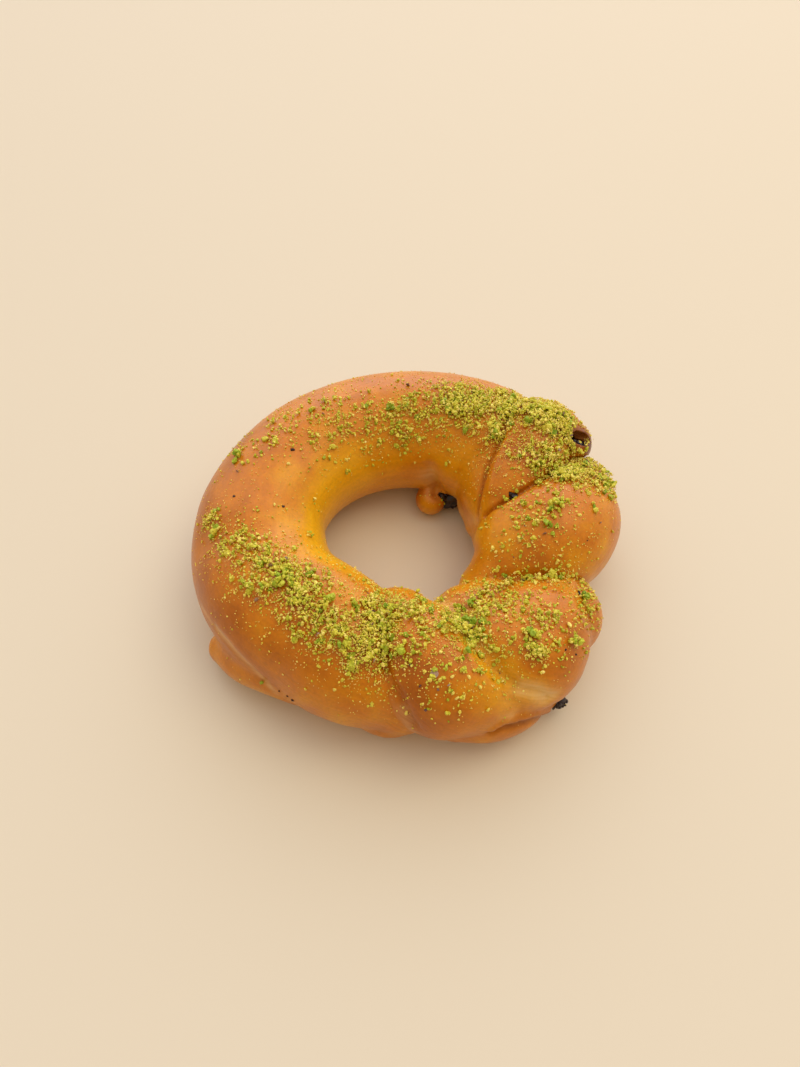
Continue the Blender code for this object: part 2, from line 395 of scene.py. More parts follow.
@dataclass(frozen=True)
class EggWashedCrust:
    """Wheat dough brushed with egg and baked, which gives a brown skin with a soft gloss.

    It is golden where it is turned away from the heat, yellow where it was pulled thin, and cream where it
    tore open after the wash. Some golden and browner marks are painted highlight and painted shade, and the
    burnt colour is also painted as shadow along the lapped end's seams.
    """

    deep: str = "#a85d0c"
    browned: str = "#c6780c"
    golden: str = "#da9a0a"
    thin: str = "#e4ac16"
    cream: str = "#e8c98a"
    # Burnt skin; the same dark brown is painted along the lapped end's seams as shadow.
    charred_and_seam_shadow: str = "#55230f"
    # The baked egg tints what the skin mirrors.
    glaze: str = "#ffb56c"
    roughness: float = 0.42
    # Browning comes in patches as wide as a fingertip.
    mottle_mm: float = 9.0
    # Flour grain and pores, which are a few tenths wide and are drawn coarser so that they show.
    grain_mm: float = 0.9
    # Low blisters under the egg wash.
    blister_mm: float = 3.4
    # Streaks that pulling left in the skin: their length along the rope and their width across it.
    streak_mm: tuple[float, float] = (15.0, 1.3)
    pore_depth_mm: float = 0.08
    streak_depth_mm: float = 0.16
    blister_depth_mm: float = 0.25
    light_reach_mm: float = 1.6

    def skin_colour(self, tree: bpy.types.NodeTree, share: bpy.types.NodeSocket) -> bpy.types.NodeSocket:
        """The baked skin's colour, from deep brown at zero to thin yellow skin at one."""
        ramp = add_node(tree, "ShaderNodeValToRGB", links={"Fac": share})
        stops = ramp.color_ramp.elements
        stops.new(0.32)
        stops.new(0.66)
        for stop, code in zip(stops, (self.deep, self.browned, self.golden, self.thin)):
            stop.color = linear(code)
        return ramp.outputs["Color"]

    def material(self) -> bpy.types.Material:
        """Builds the material, which reads the dough's attributes.

        They say how golden, pale and burnt the crust is, with the painted shadow in its seams, and how far
        along and around the rope it lies.
        """
        made, tree, shader = new_material("egg_washed_wheat_crust")
        place = add_node(tree, "ShaderNodeTexCoord").outputs["Object"]
        masks = {
            name: add_node(tree, "ShaderNodeAttribute", {"attribute_name": name}).outputs["Fac"]
            for name in ("golden", "pale", "charred_and_seam_shadow", "along", "around")
        }
        mottle = add_node(
            tree, "ShaderNodeTexNoise", {"Scale": 1 / (self.mottle_mm * MM), "Detail": 4.0}, {"Vector": place}
        )
        grain = add_node(
            tree, "ShaderNodeTexNoise", {"Scale": 1 / (self.grain_mm * MM), "Detail": 3.0}, {"Vector": place}
        )
        rope = add_node(tree, "ShaderNodeCombineXYZ", links={"X": masks["along"], "Y": masks["around"]})
        pulled = add_node(
            tree,
            "ShaderNodeMapping",
            {"Scale": (1 / self.streak_mm[0], 1 / self.streak_mm[1], 1.0)},
            {"Vector": rope.outputs["Vector"]},
        )
        streaks = add_node(
            tree, "ShaderNodeTexNoise", {"Scale": 1.0, "Detail": 3.0}, {"Vector": pulled.outputs["Vector"]}
        )
        patchy = add_node(
            tree,
            "ShaderNodeMapRange",
            {"From Min": 0.3, "From Max": 0.7, "To Min": -0.16, "To Max": 0.16},
            {"Value": mottle.outputs["Fac"]},
        )
        share = add_node(
            tree,
            "ShaderNodeMath",
            {"operation": "ADD", "use_clamp": True},
            {0: masks["golden"], 1: patchy.outputs["Result"]},
        )
        speckle = add_node(
            tree,
            "ShaderNodeMapRange",
            {"From Min": 0.35, "From Max": 0.65, "To Min": 0.93, "To Max": 1.06},
            {"Value": grain.outputs["Fac"]},
        )
        lined = add_node(
            tree,
            "ShaderNodeMapRange",
            {"From Min": 0.35, "From Max": 0.65, "To Min": 0.96, "To Max": 1.04},
            {"Value": streaks.outputs["Fac"]},
        )
        shade = add_node(
            tree,
            "ShaderNodeMath",
            {"operation": "MULTIPLY"},
            {0: speckle.outputs["Result"], 1: lined.outputs["Result"]},
        )
        speckled = add_node(
            tree,
            "ShaderNodeVectorMath",
            {"operation": "MULTIPLY"},
            {0: self.skin_colour(tree, share.outputs["Value"]), 1: shade.outputs["Value"]},
        )
        fibres = add_node(
            tree,
            "ShaderNodeMapRange",
            {"From Min": 0.35, "From Max": 0.65, "To Min": 0.6, "To Max": 1.3},
            {"Value": streaks.outputs["Fac"]},
        )
        torn = add_node(
            tree,
            "ShaderNodeMath",
            {"operation": "MULTIPLY", "use_clamp": True},
            {0: masks["pale"], 1: fibres.outputs["Result"]},
        )
        opened = add_node(
            tree,
            "ShaderNodeMix",
            {"data_type": "RGBA", 7: linear(self.cream)},
            {0: torn.outputs["Value"], 6: speckled.outputs["Vector"]},
        )
        # Burnt skin and the painted seam shadow, both in the same dark brown.
        baked = add_node(
            tree,
            "ShaderNodeMix",
            {"data_type": "RGBA", 7: linear(self.charred_and_seam_shadow)},
            {0: masks["charred_and_seam_shadow"], 6: opened.outputs[2]},
        )
        tree.links.new(baked.outputs[2], shader.inputs["Base Color"])
        gloss = add_node(
            tree,
            "ShaderNodeMapRange",
            {
                "From Min": 0.3,
                "From Max": 0.7,
                "To Min": self.roughness - 0.06,
                "To Max": self.roughness + 0.08,
            },
            {"Value": mottle.outputs["Fac"]},
        )
        tree.links.new(gloss.outputs["Result"], shader.inputs["Roughness"])
        tree.links.new(self.skin_relief(tree, place, grain, streaks), shader.inputs["Normal"])
        looks = {
            "Subsurface Weight": 0.12,
            "Subsurface Radius": (1.0, 0.4, 0.12),
            "Subsurface Scale": self.light_reach_mm * MM,
            "Specular IOR Level": 0.5,
            "Specular Tint": linear(self.glaze),
            "Coat Weight": 0.4,
            "Coat Roughness": 0.27,
        }
        set_inputs(shader, looks)
        return made

    def skin_relief(
        self,
        tree: bpy.types.NodeTree,
        place: bpy.types.NodeSocket,
        grain: bpy.types.Node,
        streaks: bpy.types.Node,
    ) -> bpy.types.NodeSocket:
        """The skin's fine relief.

        Args:
            tree: the node tree.
            place: the object's own coordinates.
            grain: the fine noise that also speckles the colour.
            streaks: the noise that runs along the rope.

        Returns:
            The normal, with pores, pulled streaks and low blisters.
        """
        pores = add_node(
            tree,
            "ShaderNodeBump",
            {"Strength": 0.5, "Distance": self.pore_depth_mm * MM},
            {"Height": grain.outputs["Fac"]},
        )
        creases = add_node(
            tree,
            "ShaderNodeBump",
            {"Strength": 0.5, "Distance": self.streak_depth_mm * MM},
            {"Height": streaks.outputs["Fac"], "Normal": pores.outputs["Normal"]},
        )
        blisters = add_node(
            tree,
            "ShaderNodeTexNoise",
            {"Scale": 1 / (self.blister_mm * MM), "Detail": 2.0},
            {"Vector": place},
        )
        skin = add_node(
            tree,
            "ShaderNodeBump",
            {"Strength": 0.5, "Distance": self.blister_depth_mm * MM},
            {"Height": blisters.outputs["Fac"], "Normal": creases.outputs["Normal"]},
        )
        return skin.outputs["Normal"]


@dataclass(frozen=True)
class ChocolatePaste:
    """Dark chocolate paste that has baked dry where it came out.

    It is nearly black and crumbly, with small glossy faces.
    """

    name: str = "baked_chocolate_paste"
    dark: str = "#1a0e0a"
    dry: str = "#3c261c"
    roughness: float = 0.38
    # Cocoa and sugar stick together in crumbs of just under a millimetre.
    crumb_mm: float = 0.8
    crumb_depth_mm: float = 0.3

    def material(self) -> bpy.types.Material:
        """Builds the material."""
        made, tree, shader = new_material(self.name)
        place = add_node(tree, "ShaderNodeTexCoord").outputs["Object"]
        crumb = add_node(
            tree, "ShaderNodeTexNoise", {"Scale": 1 / (self.crumb_mm * MM), "Detail": 4.0}, {"Vector": place}
        )
        dusty = add_node(
            tree, "ShaderNodeMapRange", {"From Min": 0.45, "From Max": 0.75}, {"Value": crumb.outputs["Fac"]}
        )
        colour = add_node(
            tree,
            "ShaderNodeMix",
            {"data_type": "RGBA", 6: linear(self.dark), 7: linear(self.dry)},
            {0: dusty.outputs["Result"]},
        )
        tree.links.new(colour.outputs[2], shader.inputs["Base Color"])
        bump = add_node(
            tree,
            "ShaderNodeBump",
            {"Strength": 0.6, "Distance": self.crumb_depth_mm * MM},
            {"Height": crumb.outputs["Fac"]},
        )
        tree.links.new(bump.outputs["Normal"], shader.inputs["Normal"])
        set_inputs(shader, {"Roughness": self.roughness})
        return made


@dataclass(frozen=True)
class NutFinish:
    """Chopped pistachio kernel: matt, waxy flesh that lets a little light in.

    It is green near the skin and yellow at the heart, so that the colour changes from grain to grain.
    """

    name: str
    colours: tuple[str, ...]
    roughness: float = 0.62
    # Each cut face is mottled by the kernel's cells and oil, drawn coarser so that it shows.
    flesh_mm: float = 0.5
    light_reach_mm: float = 0.5

    def material(self) -> bpy.types.Material:
        """Builds the material, which reads each grain's tint attribute."""
        made, tree, shader = new_material(self.name)
        tint = add_node(tree, "ShaderNodeAttribute", {"attribute_name": "tint"}).outputs["Fac"]
        colour = add_node(tree, "ShaderNodeValToRGB", links={"Fac": tint})
        stops = colour.color_ramp.elements
        while len(stops) < len(self.colours):
            stops.new(0.5)
        for i, code in enumerate(self.colours):
            stops[i].position = i / (len(self.colours) - 1)
            stops[i].color = linear(code)
        place = add_node(tree, "ShaderNodeTexCoord").outputs["Object"]
        flesh = add_node(
            tree, "ShaderNodeTexNoise", {"Scale": 1 / (self.flesh_mm * MM), "Detail": 2.0}, {"Vector": place}
        )
        shade = add_node(
            tree,
            "ShaderNodeMapRange",
            {"From Min": 0.3, "From Max": 0.7, "To Min": 0.8, "To Max": 1.15},
            {"Value": flesh.outputs["Fac"]},
        )
        mixed = add_node(
            tree,
            "ShaderNodeVectorMath",
            {"operation": "MULTIPLY"},
            {0: colour.outputs["Color"], 1: shade.outputs["Result"]},
        )
        tree.links.new(mixed.outputs["Vector"], shader.inputs["Base Color"])
        looks = {
            "Roughness": self.roughness,
            "Subsurface Weight": 0.1,
            "Subsurface Radius": (0.6, 0.6, 0.15),
            "Subsurface Scale": self.light_reach_mm * MM,
        }
        set_inputs(shader, looks)
        return made


@dataclass(frozen=True)
class DriedGlaze:
    """A drop of egg glaze that dried by itself, which leaves a cloudy, glassy film."""

    colour: str = "#b89c86"
    cloud_mm: float = 0.475

    def material(self) -> bpy.types.Material:
        """Builds the material."""
        made, tree, shader = new_material("dried_egg_glaze")
        place = add_node(tree, "ShaderNodeTexCoord").outputs["Object"]
        cloudy = add_node(tree, "ShaderNodeTexNoise", {"Scale": 1 / (self.cloud_mm * MM)}, {"Vector": place})
        clear = add_node(
            tree, "ShaderNodeMapRange", {"To Min": 0.15, "To Max": 0.4}, {"Value": cloudy.outputs["Fac"]}
        )
        tree.links.new(clear.outputs["Result"], shader.inputs["Roughness"])
        set_inputs(shader, {"Base Color": linear(self.colour)})
        return made


@dataclass(frozen=True)
class FloorPaint:
    """Matt emulsion paint, which spreads the light and mirrors next to nothing."""

    colour: str = "#dcd5bc"

    def material(self) -> bpy.types.Material:
        """Builds the material."""
        made, _, shader = new_material("matt_emulsion_paint")
        set_inputs(shader, {"Base Color": linear(self.colour), "Roughness": 0.7, "Specular IOR Level": 0.15})
        return made


# ---------------------------------------------------------------- the dough


@dataclass(frozen=True)
class Hollow:
    """A long hollow pressed into the dough along a line, or a ridge where its depth is negative."""

    stations: tuple[Station, ...]
    depth: float
    width: float


@dataclass(frozen=True)
class PaintLine:
    """A line along which the crust changes, the width over which it fades and how strong it is."""

    stations: tuple[Station, ...]
    width: float
    strength: float


# The long side, from under the lapped end, round the back and the left, to the front.
LONG_ARC = Strand(
    (
        (10, -14.5, -5.5, 12.0),
        (28, -9.5, -2.0, 16.5),
        (49, 0.0, 0.5, 20.5),
        (72, 0.5, 0.5, 21.0),
        (97, 0.0, 0.5, 20.5),
        (122, 1.2, 0.5, 20.5),
        (145, 2.3, 0.5, 20.5),
        (167, 3.0, 0.5, 20.7),
        (188, 1.5, 0.5, 21.7),
        (207, -1.1, 0.5, 22.1),
        (228, -6.1, 0.5, 21.7),
        (241, -5.5, 0.0, 21.3),
        (253, -4.0, -1.5, 19.2),
        (265, -2.0, -4.5, 15.5),
    ),
    0.97,
)
# Where the long side's end rests in front of the hole.
HEEL = Strand(((251, 2.0, -9.5, 9.0), (262, 4.0, -9.5, 9.5), (270, 2.0, -9.5, 8.0)), 0.95)
# The twisted side's lobes, from the front round to the right.
FRONT_LOBE = Strand(
    (
        (261, -14.4, 2.2, 14.4),
        (269, -10.2, 2.3, 17.5),
        (276, -5.2, 1.8, 18.8),
        (283, -0.5, 1.0, 18.6),
        (290, 3.0, -0.5, 16.0),
        (299, 9.0, -7.0, 10.5),
    )
)
INNER_SIDE = Strand(((303, -13.0, 0.0, 13.5), (314, -10.5, -1.0, 13.8), (323, -7.0, -2.5, 13.0)))
NEAR_RIGHT_LOBE = Strand(
    (
        (299, -13.0, 1.0, 13.5),
        (304, -4.0, 2.0, 16.7),
        (311, 1.5, 1.0, 18.6),
        (320, 1.5, 0.3, 17.8),
        (327, 2.4, -1.3, 16.0),
        (332, 4.2, -2.6, 13.6),
    ),
    0.97,
)
RIGHT_LOBE = Strand(
    (
        (331, -17.5, -5.0, 11.5),
        (342, -14.5, -2.0, 14.2),
        (355, -10.5, 1.0, 18.3),
        (4, -2.5, 1.5, 20.2),
        (12, 4.0, 0.5, 19.0),
        (19, 8.5, -0.5, 15.4),
    ),
    0.96,
)
# The end that is lapped over the rope, like a tongue.
LAPPED_END = Strand(
    (
        (9, -20.0, -2.0, 5.5),
        (17, -16.5, 6.0, 7.8),
        (26, -10.0, 10.0, 10.6),
        (34, -1.5, 11.5, 12.3),
        (40, 6.5, 12.3, 13.0),
        (37, 12.0, 11.5, 11.0),
        (33, 14.5, 10.5, 8.5),
    ),
    0.9,
)
# The other end, which peeps out in the hole.
TUCKED_TIP = Strand(((71, -9.0, -8.0, 6.5), (73, -14.5, -10.5, 5.9), (75, -20.0, -12.3, 5.3)))
# The tail at the lower left, which lies half under the long side.
TAIL = Strand(
    (
        (207.5, 19.5, -11.2, 5.6),
        (214, 14.8, -8.4, 8.6),
        (222, 8.6, -5.8, 11.0),
        (236, 0.8, -4.8, 14.0),
    ),
    0.9,
)
# The fold under the front lobe's foot.
FRONT_UNDERFOLD = Strand(
    (
        (284, 7.0, -7.5, 9.5),
        (293, 9.0, -7.0, 10.5),
        (302, 11.0, -8.5, 9.0),
        (311, 13.5, -11.0, 5.5),
    )
)

# The lapped end's rolled rim, beside its seam.
LAP_RIM = (
    (26.5, -19.0, 14.4),
    (31.5, -16.2, 15.7),
    (36.5, -12.2, 17.0),
    (39.5, -8.1, 18.7),
    (41.5, -3.1, 20.6),
    (43.5, 4.2, 22.2),
)
# The groove between the front lobe and the near right one, pale where it is pulled open.
LOBE_GROOVE = (
    (289, -24.3, 6.1),
    (289, -19.5, 11.1),
    (290, -15.8, 13.3),
    (291, -8.3, 17.2),
    (292, -3.2, 17.2),
    (294, 2.7, 16.5),
    (296, 6.9, 14.3),
    (298, 10.7, 11.9),
    (300, 13.8, 9.9),
    (303, 16.1, 8.6),
    (306, 18.9, 4.3),
)
# Where the long side's end meets the front lobe.
FRONT_SEAM = (
    (253, -13.9, 17.0),
    (255, -12.0, 17.2),
    (258, -6.0, 17.1),
    (260, -0.1, 15.4),
    (263, 4.8, 13.5),
    (266, 8.7, 11.5),
    (268, 11.9, 8.0),
    (270, 14.0, 3.8),
)
# Where the long side lies on the tail.
TAIL_SEAM = (
    (198, 21.5, 3.0),
    (203, 20.9, 6.5),
    (209, 19.7, 7.4),
    (214, 18.6, 7.3),
    (217, 18.3, 6.2),
    (222, 17.3, 3.8),
    (226, 16.5, 0.3),
    (230, 15.4, -3.5),
    (236, 14.5, -7.0),
)
# The lip along the front lobe's foot, where the dough tore as it rose.
TORN_EDGE = (
    (290, 17.6, 0.6),
    (293, 17.3, 1.6),
    (296, 17.3, -0.2),
    (299, 17.7, -1.3),
    (303, 18.2, -4.0),
    (308, 18.8, -9.8),
)
UNDER_TEAR = tuple((bearing, out + 0.5, up - 2.2) for bearing, out, up in TORN_EDGE)


@dataclass
class Dough:
    """The ring of dough: strands grown together in groups, joined at seams, pressed, cut open and coloured.

    Each group has a name, its strands and how many times its surface is smoothed.
    """

    ring: Ring
    finish: EggWashedCrust = field(default_factory=EggWashedCrust)
    voxel: float = 0.88
    seam_angle: float = 0.6
    lap_middle: Station = (30, 2.0, 8.0)
    lap_reach: float = 27.0
    soft_reach: float = 2.0
    soft_rounds: int = 3
    lump_mm: float = 17.0
    lump_depth: float = 0.35
    seam_depth: float = 1.3
    seam_width: float = 0.75
    # Painted shadow along the lapped end's sharp seams, in the burnt colour: its strength and how wide it
    # fades.
    painted_seam_shadow: float = 0.65
    painted_seam_shadow_width: float = 0.7
    golden_all_over: float = 0.3
    golden_inside: float = 0.3
    golden_below: float = 0.25
    sole_pale: float = 0.35
    sole_height: float = 4.0
    seam: list[Vector] = field(default_factory=list)
    groups: tuple[tuple[str, tuple[Strand, ...], int], ...] = (
        ("arc", (LONG_ARC, HEEL, TAIL), 8),
        ("front", (FRONT_LOBE, NEAR_RIGHT_LOBE, INNER_SIDE, FRONT_UNDERFOLD), 9),
        ("right", (RIGHT_LOBE,), 8),
        ("lap", (LAPPED_END,), 6),
        ("tip", (TUCKED_TIP,), 2),
    )
    hollows: tuple[Hollow, ...] = (
        Hollow(((186, 17.0, 15.0), (190, 3.0, 21.0), (180, -10.5, 17.0)), 1.1, 6.5),
        Hollow(((77, -18.0, 5.5), (74, -19.5, 0.0), (71, -20.0, -7.0)), 2.6, 2.2),
        Hollow(LOBE_GROOVE, 1.4, 3.0),
        Hollow(LOBE_GROOVE[4:], 0.7, 1.2),
        Hollow(FRONT_SEAM, 1.2, 1.5),
        Hollow(LAP_RIM, -0.9, 2.2),
        Hollow(((9, -21.5, 13.0), (10, -15.6, 17.0), (12, -8.6, 19.5)), -0.5, 2.6),
        Hollow(((321, -18.9, 9.5), (330, -13.3, 9.7), (336, -5.1, 11.0)), 0.6, 1.6),
        Hollow(((335, -3.0, 11.5), (340, 3.0, 9.0)), -1.2, 2.6),
        Hollow(((49, -19.5, -9.0), (40, -22.0, -8.5), (30, -24.5, -7.5)), -1.8, 3.6),
        Hollow(TORN_EDGE, -0.8, 1.2),
        Hollow(UNDER_TEAR, 1.5, 1.1),
        Hollow(TAIL_SEAM[2:], 0.5, 1.4),
    )
    # Where the crust is more golden, or browner where the strength is negative; some lines are painted
    # highlight and painted shade.
    tones_and_painted_light: tuple[PaintLine, ...] = (
        # The inner left wall: golden where it baked paler, and lighter still as a painted highlight where it
        # faces the light.
        PaintLine(((137, -17.0, 7.0), (159, -17.6, 3.0), (177, -18.7, 4.0), (198, -20.4, 10.0)), 9.5, 0.74),
        # The groove between the front lobes: golden where the skin was pulled, and lightened as painted light
        # against the groove's shade.
        PaintLine(LOBE_GROOVE[3:], 4.0, 0.6),
        PaintLine(((290, 9.0, 12.0), (298, 14.5, 6.0)), 6.0, 0.3),
        PaintLine(((345, 6.0, 12.0), (352, 10.0, 8.0)), 8.0, 0.22),
        # Painted shade on the ring's outer left side, which faces away from the light.
        PaintLine(((150, 14.0, 12.0), (170, 16.0, 10.0), (195, 17.0, 9.0), (215, 17.0, 8.0)), 9.0, -0.26),
        PaintLine(((244, 13.0, 4.0), (256, 12.0, 3.0)), 9.0, 0.16),
        PaintLine(((268, 3.0, 18.0), (270, 9.0, 12.0), (274, 13.0, 4.0)), 7.0, -0.3),
        # Browner on the lapped end's face, partly deeper baking and partly painted shade.
        PaintLine(((22, -16.0, 14.0), (30, -12.0, 17.0), (36, -4.0, 22.0)), 7.0, -0.28),
        PaintLine(((309, -15.0, 14.0), (318, -6.0, 19.0)), 7.0, -0.15),
        PaintLine(((318, 14.0, 10.0), (324, 16.0, 6.0)), 7.0, -0.18),
        PaintLine(((211, 20.0, -9.0), (222, 17.0, -8.0)), 6.0, 0.22),
    )
    # Where the dough opened after the wash and stayed cream.
    pale_lines: tuple[PaintLine, ...] = (
        PaintLine(((289, -21.0, 10.0), (291, -9.0, 17.0)), 2.6, 0.4),
        PaintLine(LOBE_GROOVE[3:8], 1.4, 0.3),
        PaintLine(LOBE_GROOVE[8:], 2.6, 0.85),
        PaintLine(TAIL_SEAM[2:8], 1.2, 0.45),
        PaintLine(TAIL_SEAM[:3], 1.0, 0.25),
        PaintLine(((346, 11.5, 2.0), (344, 17.0, -4.0)), 2.6, 0.5),
        PaintLine(((267, 10.5, 8.0), (270, 14.0, -2.0)), 1.8, 0.2),
        PaintLine(((78, -19.0, 2.0), (73, -20.0, -5.0)), 3.0, 0.55),
        PaintLine(((56, -19.0, -7.0), (36, -23.0, -5.0), (22, -24.0, 2.0)), 2.2, 0.35),
        PaintLine(((190, 20.5, -10.0), (203, 19.0, -11.0)), 3.0, 0.5),
        PaintLine(((288, 14.0, 7.0), (296, 16.6, 2.6)), 1.2, 0.25),
    )
    # Where an edge or paste has burnt, and darker in the hollow under the torn edge.
    dark_lines: tuple[PaintLine, ...] = (
        PaintLine(((32, 12.0, 16.5), (29, 18.0, 15.5), (27, 19.5, 13.5)), 4.4, 1.0),
        PaintLine(TORN_EDGE[1:], 1.0, 0.45),
        PaintLine(UNDER_TEAR, 1.3, 0.55),
        PaintLine(((312, 18.0, -10.0), (316, 18.8, -9.5), (320, 18.6, -10.5)), 0.8, 0.8),
    )
    # How far the skin's streaks are turned round the rope, in millimetres, at each bearing.
    twist: tuple[tuple[float, float], ...] = ((48, 0.0), (255, 0.0), (290, 35.0), (345, 80.0), (408, 80.0))

    def build(self, room: bpy.types.Object, mouth: bpy.types.Object) -> bpy.types.Object:
        """Builds the dough's piece.

        Args:
            room: the solid that the paste takes, which is cut from the dough and removed.
            mouth: the solid of the open end's mouth, which is cut from the dough and removed.

        Returns:
            The dressed piece.
        """
        piece = self.joined_groups()
        sharp = self.soften_seams(piece.data)
        self.press(piece.data, sharp)
        combine(piece, mouth, "DIFFERENCE")
        combine(piece, room, "DIFFERENCE")
        self.colour(piece.data)
        piece.data.materials.clear()
        piece.data.materials.append(self.finish.material())
        piece.data.shade_smooth()
        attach(piece, BODY)
        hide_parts(DOUGH_NODE)
        return piece

    def joined_groups(self) -> bpy.types.Object:
        """Grows each group of strands together and unites the groups, with sharp seams between them."""
        made = None
        for name, strands, rounds in self.groups:
            shapes = [strand.shape(self.ring) for strand in strands]
            grown = union_by_voxels(name, shapes, self.voxel, rounds)
            if made:
                combine(made, grown, "UNION")
            else:
                made = grown
        made.name = "egg_washed_dough"
        return made

    def seam_points(self, shape: bmesh.types.BMesh) -> list[Vector]:
        """The middles of the edges at which two groups meet, in millimetres.

        Args:
            shape: the united groups, in metres.

        Returns:
            The middles, without any that stands alone.
        """
        points = [
            (edge.verts[0].co + edge.verts[1].co) / (2 * MM)
            for edge in shape.edges
            if edge.is_manifold and edge.calc_face_angle_signed() < -self.seam_angle
        ]
        tree = point_tree(points)
        return [point for point in points if len(tree.find_range(point, self.soft_reach)) > 2]

    def soften_seams(self, mesh: bpy.types.Mesh) -> list[Vector]:
        """Rounds the seams between the groups, apart from the lapped end's, which stay sharp.

        Args:
            mesh: the united groups.

        Returns:
            Points along the sharp seams, in millimetres.
        """
        shape = bmesh.new()
        shape.from_mesh(mesh)
        seams = self.seam_points(shape)
        lapped = self.ring.place(*self.lap_middle)
        sharp = [point for point in seams if (point - lapped).length <= self.lap_reach]
        soft = [point for point in seams if (point - lapped).length > self.lap_reach]
        near = distance_to(soft, vertex_places(mesh)) < self.soft_reach
        shape.verts.ensure_lookup_table()
        chosen = [shape.verts[i] for i in np.flatnonzero(near)]
        axes = {"use_axis_x": True, "use_axis_y": True, "use_axis_z": True}
        for _ in range(self.soft_rounds):
            bmesh.ops.smooth_vert(shape, verts=chosen, factor=0.5, **axes)
        shape.to_mesh(mesh)
        shape.free()
        mesh.update()
        return sharp

    def press(self, mesh: bpy.types.Mesh, sharp: Sequence[Vector]) -> None:
        """Presses the hollows, makes the surface gently uneven and rests it flat on the floor.

        Args:
            mesh: the united groups.
            sharp: points along the lapped end's seams, which are pressed in further.
        """
        places, normals = vertex_places(mesh), vertex_normals(mesh)
        self.seam = list(sharp)
        push = self.seam_depth * bump_of(distance_to(sharp, places), self.seam_width)
        for hollow in self.hollows:
            line = self.ring.line(hollow.stations)
            push += hollow.depth * bump_of(distance_to(line, places), hollow.width)
        uneven = [noise.noise(Vector(place / self.lump_mm)) for place in places]
        push -= self.lump_depth * np.array(uneven)
        places = places - normals * push[:, None]
        places[:, 2] = np.maximum(places[:, 2], 0.0)
        move_vertices(mesh, places)

    def paint(self, lines: Sequence[PaintLine], places: np.ndarray) -> np.ndarray:
        """How strongly these lines colour each place.

        Args:
            lines: the lines to paint.
            places: the vertices, in millimetres.

        Returns:
            Each place's strongest mark, with its strongest negative one taken off.
        """
        lighter, darker = np.zeros(len(places)), np.zeros(len(places))
        for line in lines:
            mark = line.strength * bump_of(distance_to(self.ring.line(line.stations), places), line.width)
            lighter, darker = np.maximum(lighter, mark), np.minimum(darker, mark)
        return lighter + darker

    def colour(self, mesh: bpy.types.Mesh) -> None:
        """Stores how golden, pale and burnt each vertex is, the painted seam shadow, and where on the rope it
        lies.
        """
        places, normals = vertex_places(mesh), vertex_normals(mesh)
        towards = places[:, :2] - np.array(self.ring.centre)
        reach = np.linalg.norm(towards, axis=1)
        towards /= reach[:, None]
        inner = np.clip(-(towards * normals[:, :2]).sum(1), 0, 1)
        below = np.clip(-normals[:, 2], 0, 1)
        golden = self.golden_all_over + self.golden_inside * inner + self.golden_below * below
        store(mesh, "golden", np.clip(golden + self.paint(self.tones_and_painted_light, places), 0, 1))
        under = np.clip((self.sole_height - places[:, 2]) / self.sole_height, 0, 1)
        pale = self.paint(self.pale_lines, places) + self.sole_pale * under * below
        store(mesh, "pale", np.clip(pale, 0, 1))
        # Burnt edges and paste, and the darker hollow under the torn edge.
        burnt = self.paint(self.dark_lines, places)
        # Painted shadow along the lapped end's sharp seams, laid into the same mark as the burnt edges.
        gap = self.painted_seam_shadow * bump_of(distance_to(self.seam, places), self.painted_seam_shadow_width)
        store(mesh, "charred_and_seam_shadow", np.clip(np.maximum(burnt, gap), 0, 1))
        start = self.twist[0][0]
        bearing = (np.degrees(np.arctan2(towards[:, 1], towards[:, 0])) - start) % 360 + start
        lean = np.interp(bearing, *zip(*self.twist))
        turned = np.arctan2(places[:, 2] - self.ring.rest_height, reach - self.ring.reach)
        store(mesh, "along", np.radians(bearing) * self.ring.reach)
        store(mesh, "around", turned * self.ring.rest_height + lean)


# ---------------------------------------------------------------- the paste


@dataclass(frozen=True)
class Spot:
    """A lump of paste: its middle, half its sizes and how many crumbs lie on it, none where it is buried."""

    station: Station
    half_sizes: tuple[float, float, float]
    crumbs: int


